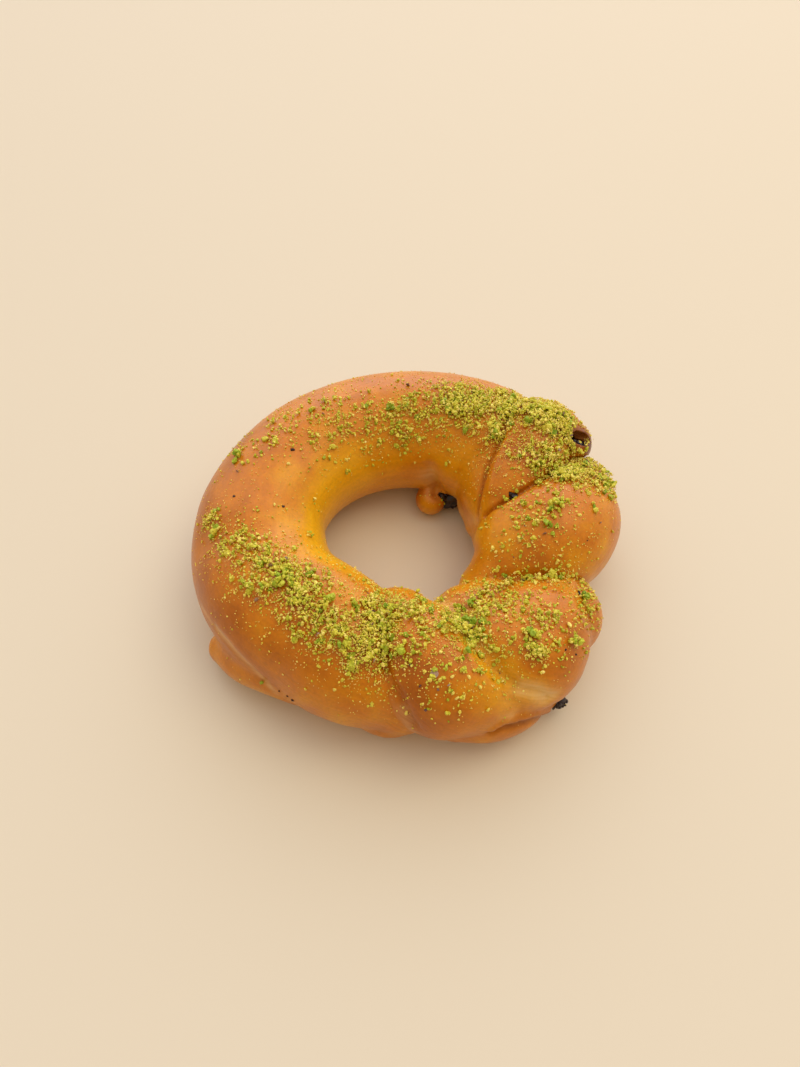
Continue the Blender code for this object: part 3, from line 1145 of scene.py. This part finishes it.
@dataclass
class Paste:
    """The dark paste: a core that runs through the rope, with crumbly lumps where it comes out."""

    ring: Ring
    finish: ChocolatePaste = field(default_factory=ChocolatePaste)
    core_radius: float = 2.6
    gap: float = 0.3
    voxel: float = 0.45
    room_voxel: float = 0.7
    room_rounds: int = 2
    rough: float = 0.25
    lowest: float = 0.2
    crumb_rough: float = 0.9
    lowest_crumb: float = 0.9
    smallest_crumb: float = 0.3
    crumb_range: float = 0.65
    small_bias: float = 1.3
    seed: int = 5
    route: tuple[Station, ...] = (
        (33, 13.0, 13.8),
        (36, 5.0, 12.0),
        (33, -4.0, 8.0),
        (17, -10.0, 4.0),
        (0, -4.0, 1.0),
        (343, -1.5, 0.0),
        (327, 2.0, -2.0),
        (315, 9.0, -6.5),
        (304, 7.0, -4.5),
        (290, 0.0, 0.0),
        (270, -3.0, 0.0),
        (245, -5.0, 0.0),
        (220, -2.0, 0.0),
        (190, 1.0, 0.0),
        (160, 3.0, 0.0),
        (130, 2.0, 0.0),
        (100, 0.0, 0.0),
        (75, 0.0, 0.0),
        (52, -4.0, -1.0),
        (50, -11.0, -4.5),
        (56, -15.0, -9.0),
        (62, -18.0, -12.0),
    )
    spots: tuple[Spot, ...] = (
        Spot((29.8, 14.0, 12.8), (4.2, 2.4, 2.4), 70),
        Spot((17.4, -14.6, 15.4), (1.7, 1.2, 1.5), 22),
        Spot((20, -12.5, 9.5), (3.0, 3.0, 5.5), 0),
        Spot((312.6, 18.2, -11.9), (2.7, 2.2, 2.2), 60),
        Spot((313, 12.0, -8.0), (3.6, 3.6, 4.2), 0),
        Spot((63, -18.6, -13.0), (3.2, 2.0, 2.2), 50),
        Spot((67, -19.2, -10.4), (1.7, 1.6, 2.2), 30),
        Spot((60, -17.8, -13.6), (1.6, 1.6, 1.8), 24),
    )

    def shapes(self, grown: float) -> list[bmesh.types.BMesh]:
        """The core and the lumps.

        Args:
            grown: how far they are all grown outwards.

        Returns:
            The overlapping forms, in millimetres.
        """
        core = Strand(tuple((*station, self.core_radius + grown) for station in self.route), sides=20)
        made = [core.shape(self.ring)]
        for i, spot in enumerate(self.spots):
            sizes = [half + grown for half in spot.half_sizes]
            made.append(lump(self.ring.place(*spot.station), sizes, self.rough, 7.3 * i))
        return made

    def room(self) -> bpy.types.Object:
        """The solid that the dough leaves free for the paste."""
        return union_by_voxels("paste_room", self.shapes(self.gap), self.room_voxel, self.room_rounds)

    def crumbs(self, draw: random.Random) -> bmesh.types.BMesh:
        """The broken crumbs that lie on each lump where it shows.

        Args:
            draw: the random numbers.

        Returns:
            All crumbs as one form, in millimetres.
        """
        made = bmesh.new()
        for spot in self.spots:
            middle = self.ring.place(*spot.station)
            for _ in range(spot.crumbs):
                way = Vector([draw.gauss(0, 1) for _ in range(3)]).normalized()
                at = middle + Vector([w * h * draw.uniform(0.8, 1.05) for w, h in zip(way, spot.half_sizes)])
                at.z = max(at.z, self.lowest_crumb)
                size = self.smallest_crumb + self.crumb_range * draw.random() ** self.small_bias
                halves = [size * draw.uniform(0.6, 1.3) for _ in range(3)]
                add_form(made, lump(at, halves, self.crumb_rough, draw.uniform(0, 90), 1))
        return made

    def build(self) -> bpy.types.Object:
        """Builds the paste's piece."""
        piece = union_by_voxels("chocolate_paste", self.shapes(0.0), self.voxel, 1)
        places = vertex_places(piece.data)
        places[:, 2] = np.maximum(places[:, 2], self.lowest)
        move_vertices(piece.data, places)
        piece.data.shade_smooth()
        crumbs = self.crumbs(random.Random(self.seed))
        bmesh.ops.scale(crumbs, vec=(MM, MM, MM), verts=crumbs.verts)
        crumbs.from_mesh(piece.data)
        crumbs.to_mesh(piece.data)
        crumbs.free()
        piece.data.materials.clear()
        piece.data.materials.append(self.finish.material())
        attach(piece, BODY)
        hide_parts(PASTE_NODE)
        return piece


@dataclass(frozen=True)
class Mouth:
    """The open mouth of the lapped end."""

    station: Station = (29.5, 16.2, 16.2)
    half_sizes: tuple[float, float, float] = (5.0, 2.4, 3.0)
    rough: float = 0.12
    pattern: float = 3.0

    def build(self, ring: Ring) -> bpy.types.Object:
        """The solid that is cut from the dough."""
        hollow = lump(ring.place(*self.station), self.half_sizes, self.rough, self.pattern)
        return piece_from("mouth_room", hollow)


# ---------------------------------------------------------------- the topping


class Grain(Enum):
    """The kinds of thing that the topping holds."""

    CHUNK = "pistachio_chunks"
    CRUMB = "pistachio_crumbs"
    GRIT = "pistachio_grit"
    MEAL = "pistachio_meal"
    SHRED = "pistachio_shreds"
    SKIN = "pistachio_skins"
    DUST = "pistachio_dust"


@dataclass(frozen=True)
class GrainKind:
    """How one kind of grain looks and how many there are."""

    kind: Grain
    count: int
    smallest: float
    largest: float
    subdivisions: int
    flatness: float
    clustered: float
    finish: NutFinish
    slimness: float = 1.0
    spread: float = 1.0


@dataclass(frozen=True)
class Patch:
    """A patch of topping seen from above.

    Its middle is measured from the ring's axis. It has two radii, how far the longer one is turned from +X in
    degrees, and how much of the crust it covers.
    """

    x: float
    y: float
    long: float
    short: float
    turn: float
    cover: float

    @property
    def share(self) -> float:
        """The patch's weight when a grain is dropped."""
        return self.long * self.short * self.cover


def tree_of(pieces: Sequence[bpy.types.Object]) -> BVHTree:
    """A search tree of all these pieces' surfaces, in metres."""
    shape = bmesh.new()
    for piece in pieces:
        shape.from_mesh(piece.data)
    tree = BVHTree.FromBMesh(shape)
    shape.free()
    return tree


KERNEL = NutFinish("chopped_pistachio_kernel", ("#7fa00f", "#a6b81c", "#c6c62c", "#dcd244"))
CRUMBS = NutFinish("ground_pistachio_crumb", ("#a2b01a", "#c4c428", "#dcd240", "#f0e070"))
COARSE_MEAL = NutFinish("coarse_pistachio_meal", ("#b2b81e", "#d2cc34", "#e8da4e", "#f6e880"))
FINE_MEAL = NutFinish("ground_pistachio_meal", ("#cfc032", "#e8d64e", "#f6e680"))
SHREDDED = NutFinish("shredded_pistachio", ("#bcc22c", "#dccf46", "#f0e074"))
PAPERY_SKIN = NutFinish("pistachio_skin", ("#5e3f38", "#8a6a50", "#a88c6c"), 0.7)
DUSTING = NutFinish("pistachio_dust", ("#d8b83a", "#e8cc50", "#f2dc78"))


@dataclass
class Topping:
    """Ground pistachio, dropped straight down on the dough in patches and piled where it is thick."""

    ring: Ring
    surfaces: Sequence[bpy.types.Object]
    seed: int = 23
    shapes_of_each: int = 10
    cell: float = 0.35
    highest_pile: float = 2.4
    clump: float = 1.1
    steepest: float = 0.12
    gentle: float = 0.62
    small_bias: float = 1.5
    patch_scale: float = 0.8
    drop_height: float = 80.0
    footprint: float = 0.8
    nesting: float = 0.75
    heap: float = 1.1
    seat: float = 0.35
    set_seat: float = 0.4
    unevenness: float = 0.75
    pile: dict[tuple[int, int], float] = field(default_factory=dict)
    kinds: tuple[GrainKind, ...] = (
        GrainKind(Grain.CHUNK, 480, 0.6, 1.15, 2, 0.75, 0.5, KERNEL),
        GrainKind(Grain.CRUMB, 5400, 0.3, 0.72, 1, 0.7, 0.5, CRUMBS),
        GrainKind(Grain.GRIT, 5000, 0.2, 0.4, 1, 0.7, 0.25, COARSE_MEAL, spread=1.65),
        GrainKind(Grain.MEAL, 4500, 0.13, 0.24, 1, 0.7, 0.3, FINE_MEAL, spread=1.5),
        GrainKind(Grain.SHRED, 500, 0.16, 0.26, 1, 0.8, 0.3, SHREDDED, slimness=4.0, spread=1.2),
        GrainKind(Grain.SKIN, 60, 0.3, 0.7, 1, 0.35, 0.0, PAPERY_SKIN),
        GrainKind(Grain.DUST, 5200, 0.14, 0.24, 1, 0.7, 0.1, DUSTING, spread=2.8),
    )
    # Places that stay bare, each with its radius.
    bare: tuple[tuple[Station, float], ...] = (((29.8, 15.8, 16.8), 3.8), ((17.0, -15.0, 16.6), 1.5))
    # Chunks with a place of their own, each with its radius.
    set_down: tuple[tuple[Station, float], ...] = (
        ((93, -5.2, 19.7), 1.2),
        ((92, -4.4, 19.7), 0.8),
        ((58, 9.0, 19.4), 1.5),
        ((57, 10.2, 19.0), 1.0),
        ((49, -5.6, 19.5), 1.6),
        ((50, -4.0, 19.8), 1.3),
        ((48.5, -7.3, 19.0), 1.2),
        ((51, -6.0, 19.5), 1.0),
        ((41, 1.6, 23.5), 1.5),
        ((35, 4.5, 21.8), 1.7),
        ((36, 6.0, 21.8), 1.2),
        ((33, 5.6, 21.4), 1.3),
        ((30, 6.2, 19.4), 1.2),
        ((30, 13.6, 15.0), 0.9),
        ((29, 15.4, 14.6), 0.8),
        ((31, 12.4, 15.6), 1.0),
        ((15.5, -16.6, 15.4), 0.7),
        ((18.6, -13.4, 17.0), 0.8),
        ((17.0, -13.2, 17.2), 0.6),
        ((64, -20.6, -11.4), 0.5),
        ((66, -21.0, -9.4), 0.4),
        ((185, 13.8, 17.7), 1.3),
        ((184, 12.8, 18.0), 1.0),
        ((186, 14.6, 17.0), 1.0),
        ((250, 3.7, 17.0), 1.4),
        ((308, 8.4, 17.4), 1.3),
        ((309, 9.6, 17.0), 0.9),
    )
    patches: tuple[Patch, ...] = (
        Patch(19, 41, 11, 7, -12, 0.6),
        Patch(13, 49, 9, 3, -8, 0.25),
        Patch(-4, 37, 15, 7, 5, 0.2),
        Patch(-27, 36, 14, 9, 35, 0.09),
        Patch(-46, 28, 14, 8, 55, 0.07),
        Patch(33, 41, 5, 6, 0, 0.9),
        Patch(42, 35, 7, 6, -20, 1.25),
        Patch(52, 30, 6, 4, -35, 1.3),
        Patch(46, 18, 11, 5, -12, 1.05),
        Patch(60, 20, 6, 8, 0, 0.35),
        Patch(38, -1, 14, 12, 0, 0.11),
        Patch(-62, 0, 1.6, 2.2, 0, 0.9),
        Patch(-52, -11, 8, 5, -20, 0.28),
        Patch(-43, -20, 10, 8, -40, 0.25),
        Patch(-32, -26, 12, 6, -45, 0.4),
        Patch(-28, -34, 12, 7, -40, 0.28),
        Patch(-20, -41, 10, 6, -35, 0.28),
        Patch(-11, -34, 4.5, 8, 10, 0.9),
        Patch(-10, -43, 5, 7, 0, 0.38),
        Patch(-2, -31, 7, 5, 0, 0.36),
        Patch(4, -40, 9, 8, 0, 0.17),
        Patch(13, -36, 5, 6, -60, 0.7),
        Patch(20, -42, 8, 4, -50, 0.25),
        Patch(38, -18, 16, 3, 8, 0.4),
        Patch(25, -28, 9, 7, 0, 0.24),
        Patch(38, -36, 12, 9, 0, 0.16),
        Patch(53, -24, 6, 8, 0, 0.2),
        Patch(8, -53, 12, 7, 0, 0.08),
        Patch(-11, 33, 16, 6, 0, 0.1),
        Patch(-2, 42, 1.4, 1.2, 0, 1.5),
        Patch(30, 47, 1.6, 1.2, 0, 1.5),
        Patch(27, 31, 1.8, 2.4, 0, 1.8),
        Patch(34, -44, 2.0, 1.5, 0, 1.5),
        Patch(-17, -48, 1.2, 1.8, 0, 1.2),
        Patch(0, 0, 52, 48, 0, 0.022),
    )

    def place(self, draw: random.Random, spread: float, near: Vector | None) -> Vector:
        """A place seen from above, near another or drawn from the patches.

        Args:
            draw: the random numbers.
            spread: how much wider than the patches this kind of grain falls.
            near: a grain that this one clusters with, or nothing.

        Returns:
            The place in millimetres.
        """
        if near is not None:
            return Vector((draw.gauss(near.x, self.clump), draw.gauss(near.y, self.clump)))
        patch = draw.choices(self.patches, [p.share for p in self.patches])[0]
        turn, reach = draw.uniform(0, math.tau), math.sqrt(-math.log(1 - draw.random()))
        along = Vector((patch.long * math.cos(turn), patch.short * math.sin(turn)))
        along = along * reach * self.patch_scale * spread
        along.rotate(Matrix.Rotation(math.radians(patch.turn), 2))
        return Vector((patch.x + self.ring.centre[0], patch.y + self.ring.centre[1])) + along

    def drop(self, draw: random.Random, tree: BVHTree, at: Vector, size: float) -> Vector | None:
        """Drops a grain and lets it rest on the crust or on what is piled there.

        Args:
            draw: the random numbers.
            tree: the crust.
            at: the place seen from above.
            size: the grain's radius.

        Returns:
            Where the grain's middle rests, or nothing where it rolls off.
        """
        hit, normal, _, _ = tree.ray_cast(Vector((at.x, at.y, self.drop_height)) * MM, Vector((0, 0, -1)))
        if hit is None:
            return None
        hold = (normal.z - self.steepest) / (self.gentle - self.steepest)
        if draw.random() > hold:
            return None
        hit = hit / MM
        if any((hit - self.ring.place(*station)).length < radius for station, radius in self.bare):
            return None
        reach = max(1, round(size * self.footprint / self.cell))
        middle = (round(at.x / self.cell), round(at.y / self.cell))
        cells = [
            (middle[0] + i, middle[1] + j)
            for i in range(-reach, reach + 1)
            for j in range(-reach, reach + 1)
            if i * i + j * j <= reach * reach
        ]
        under = max(self.pile.get(cell, 0.0) for cell in cells)
        if under > self.highest_pile:
            return None
        raised = under * self.nesting
        for cell in cells:
            self.pile[cell] = max(self.pile.get(cell, 0.0), raised + size * self.heap)
        return hit + normal * (raised + size * self.seat)

    def grain_shapes(self, kind: GrainKind) -> list[tuple[np.ndarray, np.ndarray]]:
        """A few uneven grains of unit radius, as vertices and triangles."""
        made = []
        for i in range(self.shapes_of_each):
            shape = bmesh.new()
            bmesh.ops.create_icosphere(shape, subdivisions=kind.subdivisions, radius=1.0)
            for vertex in shape.verts:
                offset = Vector((3.1 * i, 7.7, 1.3 * len(kind.kind.value)))
                vertex.co *= 1.0 + self.unevenness * noise.noise(vertex.co * 1.3 + offset)
            points = np.array([vertex.co for vertex in shape.verts])
            faces = np.array([[vertex.index for vertex in face.verts] for face in shape.faces])
            shape.free()
            made.append((points, faces))
        return made

    def build(self) -> list[bpy.types.Object]:
        """Builds one piece for each kind of grain."""
        draw = random.Random(self.seed)
        tree = tree_of(self.surfaces)
        return [self.build_kind(kind, draw, tree) for kind in self.kinds]

    def rests(self, kind: GrainKind, draw: random.Random, tree: BVHTree) -> list[tuple[Vector, float]]:
        """Where the grains of one kind come to rest, and the size of each.

        Args:
            kind: what to drop.
            draw: the random numbers.
            tree: what the grains fall on.

        Returns:
            The middle and radius of each grain, first of those with a place of their own, then of the rest.
        """
        made = []
        if kind.kind is Grain.CHUNK:
            for station, size in self.set_down:
                spot, normal, _, _ = tree.find_nearest(self.ring.place(*station) * MM)
                made.append((spot / MM + normal * size * self.set_seat, size))
        near = None
        while len(made) < kind.count:
            if near is not None and draw.random() > kind.clustered:
                near = None
            at = self.place(draw, kind.spread, near)
            size = kind.smallest + (kind.largest - kind.smallest) * draw.random() ** self.small_bias
            rest = self.drop(draw, tree, at, size)
            near = None if rest is None else at
            if rest is not None:
                made.append((rest, size))
        return made

    def build_kind(self, kind: GrainKind, draw: random.Random, tree: BVHTree) -> bpy.types.Object:
        """Drops all grains of one kind and joins them into one piece.

        Args:
            kind: what to drop.
            draw: the random numbers.
            tree: the crust.

        Returns:
            The dressed piece.
        """
        shapes = self.grain_shapes(kind)
        points, faces, tints, start = [], [], [], 0
        for spot, size in self.rests(kind, draw, tree):
            base, triangles = draw.choice(shapes)
            turn = np.array(Euler([draw.uniform(0, math.tau) for _ in range(3)]).to_matrix())
            long, flat = kind.slimness * draw.uniform(0.85, 1.3), kind.flatness * draw.uniform(0.8, 1.2)
            points.append((base * size * np.array([long, 1.0, flat])) @ turn.T + np.array(spot))
            faces.append(triangles + start)
            tints.append(np.full(len(base), draw.random()))
            start += len(base)
        joined = [np.concatenate(rows) for rows in (points, faces, tints)]
        piece = grains_piece(kind.kind.value, *joined)
        piece.data.materials.append(kind.finish.material())
        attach(piece, BODY)
        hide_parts(DOUGH_NODE)
        return piece


def grains_piece(name: str, points: np.ndarray, faces: np.ndarray, tints: np.ndarray) -> bpy.types.Object:
    """Joins many grains into one object.

    Args:
        name: the new object's name.
        points: all vertices, in millimetres.
        faces: all triangles, as rows of three vertex numbers.
        tints: one number for each vertex, the same all over a grain.

    Returns:
        The object.
    """
    mesh = bpy.data.meshes.new(name)
    mesh.from_pydata((points * MM).tolist(), [], faces.tolist())
    store(mesh, "tint", tints)
    mesh.update()
    return new_piece(name, mesh)


# ---------------------------------------------------------------- small marks


@dataclass(frozen=True)
class Speck:
    """A dark speck on the crust: its place and half its sizes along X, Y and Z."""

    station: Station
    half_sizes: tuple[float, float, float]


@dataclass
class Specks:
    """Specks of burnt paste on the crust."""

    ring: Ring
    crust: bpy.types.Object
    finish: ChocolatePaste = ChocolatePaste("burnt_paste", "#2a1614", "#53352c", 0.8)
    specks: tuple[Speck, ...] = (
        Speck((269, 1.2, 18.1), (0.6, 0.45, 0.3)),
        Speck((321, 17.4, 8.2), (0.5, 0.5, 0.5)),
        Speck((317, 15.6, 12.2), (0.4, 0.3, 0.3)),
        Speck((315, 13.0, 15.0), (0.35, 0.35, 0.25)),
        Speck((336, 7.4, 9.8), (0.4, 0.9, 0.5)),
        Speck((236, 15.5, 0.1), (0.6, 0.4, 0.4)),
        Speck((234, 15.4, -0.2), (0.4, 0.3, 0.3)),
        Speck((231, 15.2, -1.0), (0.3, 0.3, 0.3)),
        Speck((213, -4.9, 22.2), (1.5, 0.7, 0.5)),
        Speck((148, -2.1, 19.9), (0.8, 0.5, 0.4)),
        Speck((174, 7.9, 20.1), (0.5, 0.4, 0.3)),
        Speck((175, -7.4, 18.5), (0.6, 0.4, 0.3)),
    )

    def build(self) -> bpy.types.Object:
        """Builds the specks' piece."""
        tree = BVHTree.FromObject(self.crust, bpy.context.evaluated_depsgraph_get())
        shape = bmesh.new()
        for i, speck in enumerate(self.specks):
            spot = tree.find_nearest(self.ring.place(*speck.station) * MM)[0] / MM
            add_form(shape, lump(spot, speck.half_sizes, 0.5, 4.1 * i, 2))
        piece = piece_from("burnt_specks", shape)
        piece.data.materials.append(self.finish.material())
        piece.data.shade_smooth()
        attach(piece, BODY)
        return piece


@dataclass
class DriedDrop:
    """A drop of glaze that dried to a small pale ring."""

    ring: Ring
    crust: bpy.types.Object
    finish: DriedGlaze = DriedGlaze()
    station: Station = (276, 4.3, 18.7)
    radius: float = 0.95
    thickness: float = 0.2

    def build(self) -> bpy.types.Object:
        """Builds the drop's piece: a thin cushion with a round rim, which lies on the crust."""
        tree = BVHTree.FromObject(self.crust, bpy.context.evaluated_depsgraph_get())
        spot, normal, _, _ = tree.find_nearest(self.ring.place(*self.station) * MM)
        shape = bmesh.new()
        stand = Matrix.Translation((self.radius, 0, 0)) @ Matrix.Rotation(math.pi / 2, 4, "X")
        bmesh.ops.create_circle(shape, segments=8, radius=self.thickness, matrix=stand)
        bmesh.ops.spin(
            shape,
            geom=shape.verts[:] + shape.edges[:],
            cent=(0, 0, 0),
            axis=(0, 0, 1),
            angle=math.tau,
            steps=20,
            use_merge=True,
        )
        bmesh.ops.remove_doubles(shape, verts=shape.verts, dist=0.001)
        add_form(shape, lump((0, 0, -0.05), (self.radius, self.radius, self.thickness * 0.8), 0.1, 2.0))
        bmesh.ops.transform(shape, matrix=normal.to_track_quat("Z", "Y").to_matrix(), verts=shape.verts)
        bmesh.ops.translate(shape, vec=spot / MM + normal * self.thickness * 0.4, verts=shape.verts)
        piece = piece_from("dried_glaze_drop", shape)
        piece.data.materials.append(self.finish.material())
        piece.data.shade_smooth()
        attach(piece, BODY)
        return piece


# ---------------------------------------------------------------- the studio


@dataclass(frozen=True)
class SoftLight:
    """One soft light: where it stands in metres, its size, its power and its colour."""

    name: str
    place: tuple[float, float, float]
    width: float
    height: float
    watts: float
    colour: str


@dataclass
class Studio:
    """A pale floor, a warm light from the right, a window's light from behind, and a camera above."""

    ring: Ring
    floor: FloorPaint = FloorPaint()
    floor_reach: float = 3000.0
    floor_gap: float = 0.1
    front_colour: str = "#ffdaa8"
    front_strength: float = 0.55
    back_colour: str = "#f2eefa"
    back_strength: float = 1.9
    horizon_glow: float = 3.0
    window_way: tuple[float, float, float] = (0.08, 0.91, 0.40)
    camera_mm: tuple[float, float, float] = (-3.93, -130.3, 242.0)
    camera_tilt: float = 31.0
    sensor: float = 36.0
    lens: float = 27.06
    lights: tuple[SoftLight, ...] = (
        SoftLight("key_right", (0.65, 0.25, 1.25), 0.8, 0.8, 4.3, "#ffe8c2"),
        SoftLight("window_back", (0.1, 0.98, 0.6), 0.9, 0.5, 1.4, "#eeeeff"),
    )

    def build(self) -> None:
        """Builds the floor, the lights and the camera."""
        self.build_floor()
        for light in self.lights:
            self.build_light(light)
        self.build_sky()
        self.build_camera()

    def build_floor(self) -> None:
        """A matt pale floor."""
        shape = bmesh.new()
        bmesh.ops.create_grid(shape, x_segments=1, y_segments=1, size=self.floor_reach)
        bmesh.ops.translate(shape, vec=(0, 0, -self.floor_gap), verts=shape.verts)
        floor = piece_from("studio_floor", shape)
        floor.data.materials.append(self.floor.material())

    def build_light(self, light: SoftLight) -> None:
        """One area light that faces the ring."""
        data = bpy.data.lights.new(light.name, "AREA")
        data.shape = "RECTANGLE"
        data.size = light.width
        data.size_y = light.height
        data.energy = light.watts
        data.color = linear(light.colour)[:3]
        lamp = bpy.data.objects.new(light.name, data)
        lamp.location = light.place
        lamp.rotation_euler = (-Vector(light.place)).to_track_quat("-Z", "Y").to_euler()
        bpy.context.scene.collection.objects.link(lamp)

    def build_sky(self) -> None:
        """A plain sky that turns from warm and dim to bright and neutral on the window's side."""
        world = bpy.data.worlds.new("studio_sky")
        world.use_nodes = True
        tree = world.node_tree
        way = add_node(tree, "ShaderNodeTexCoord").outputs["Generated"]
        back = add_node(
            tree, "ShaderNodeVectorMath", {"operation": "DOT_PRODUCT", 1: self.window_way}, {0: way}
        ).outputs["Value"]
        share = add_node(tree, "ShaderNodeMapRange", {"From Min": -0.9, "From Max": 0.9}, {"Value": back})
        colour = add_node(
            tree,
            "ShaderNodeMix",
            {"data_type": "RGBA", 6: linear(self.front_colour), 7: linear(self.back_colour)},
            {0: share.outputs["Result"]},
        )
        glow = add_node(
            tree, "ShaderNodeMath", {"operation": "POWER", 1: self.horizon_glow}, {0: share.outputs["Result"]}
        )
        strength = add_node(
            tree,
            "ShaderNodeMapRange",
            {"To Min": self.front_strength, "To Max": self.back_strength},
            {"Value": glow.outputs["Value"]},
        )
        background = tree.nodes["Background"]
        tree.links.new(colour.outputs[2], background.inputs["Color"])
        tree.links.new(strength.outputs["Result"], background.inputs["Strength"])
        bpy.context.scene.world = world
        bpy.context.scene.view_settings.view_transform = "Standard"

    def build_camera(self) -> None:
        """The camera, whose place is given from the ring's own axis."""
        data = bpy.data.cameras.new("camera")
        data.sensor_width = self.sensor
        data.lens = self.lens
        data.clip_start = 0.01
        camera = bpy.data.objects.new("camera", data)
        x, y, z = self.camera_mm
        camera.location = ((x + self.ring.centre[0]) * MM, (y + self.ring.centre[1]) * MM, z * MM)
        camera.rotation_euler = (math.radians(self.camera_tilt), 0, 0)
        bpy.context.scene.collection.objects.link(camera)
        bpy.context.scene.camera = camera


def main() -> None:
    """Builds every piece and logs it."""
    logging.basicConfig(level=logging.INFO, format="%(message)s")
    ring = Ring()
    paste = Paste(ring)
    pieces = [Dough(ring).build(paste.room(), Mouth().build(ring)), paste.build()]
    crust = pieces[0]
    pieces += Topping(ring, pieces[:2]).build()
    pieces += [Specks(ring, crust).build(), DriedDrop(ring, crust).build()]
    for piece in pieces:
        LOG.info("%s: %d triangles", piece.name, sum(len(face.vertices) - 2 for face in piece.data.polygons))
    Studio(ring).build()


if __name__ == "__main__":
    main()
